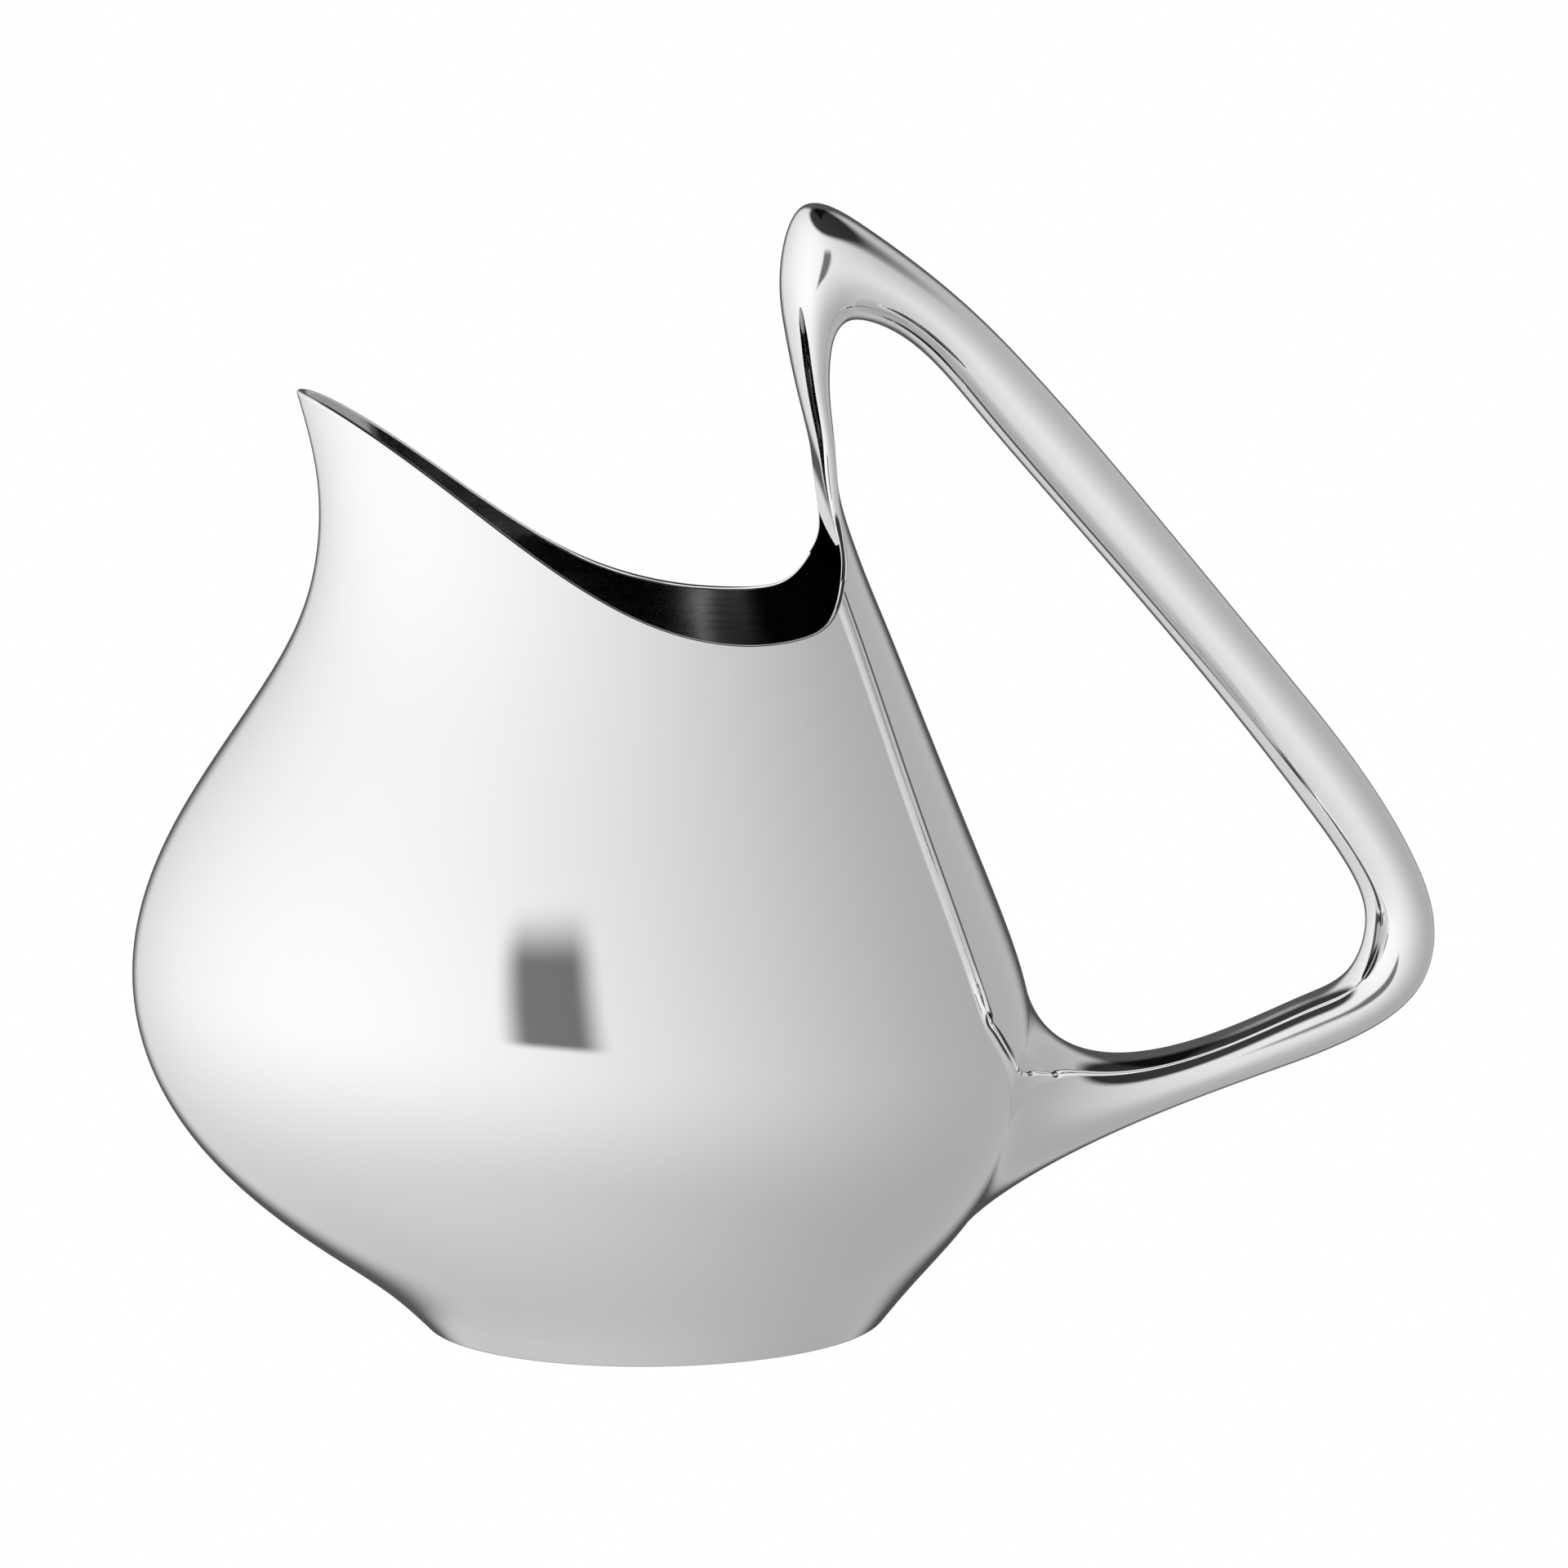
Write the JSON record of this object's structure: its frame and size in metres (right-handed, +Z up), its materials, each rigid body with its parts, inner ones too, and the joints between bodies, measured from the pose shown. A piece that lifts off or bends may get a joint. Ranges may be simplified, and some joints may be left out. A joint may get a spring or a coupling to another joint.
{
  "type": "water pitcher",
  "caption": "Polished metal water pitcher with a full asymmetrical belly, a sweeping rim that rises to a pointed spout, and a closed loop handle flowing out of the back wall.",
  "frame": {"origin": "middle of the overall length and width, on the table plane under the foot ring", "axes": "+Z up, +X towards the handle with the spout pointing along -X, Y across; the plane Y = 0 is the mirror plane"},
  "size_m": [0.2584, 0.1484, 0.2201],
  "materials": {
    "polished_silver": "mirror-polished sheet metal with very fine hairline scratches",
    "satin_silver": "satin, circularly brushed"
  },
  "bodies": {
    "root": {"body_left_half": "polished_silver", "body_right_half": "polished_silver", "foot_ring": "polished_silver", "base_plate": "satin_silver", "handle_tongue": "polished_silver", "handle_left_shell": "polished_silver", "handle_right_shell": "polished_silver", "handle_root": "polished_silver"}
  },
  "joints": []
}
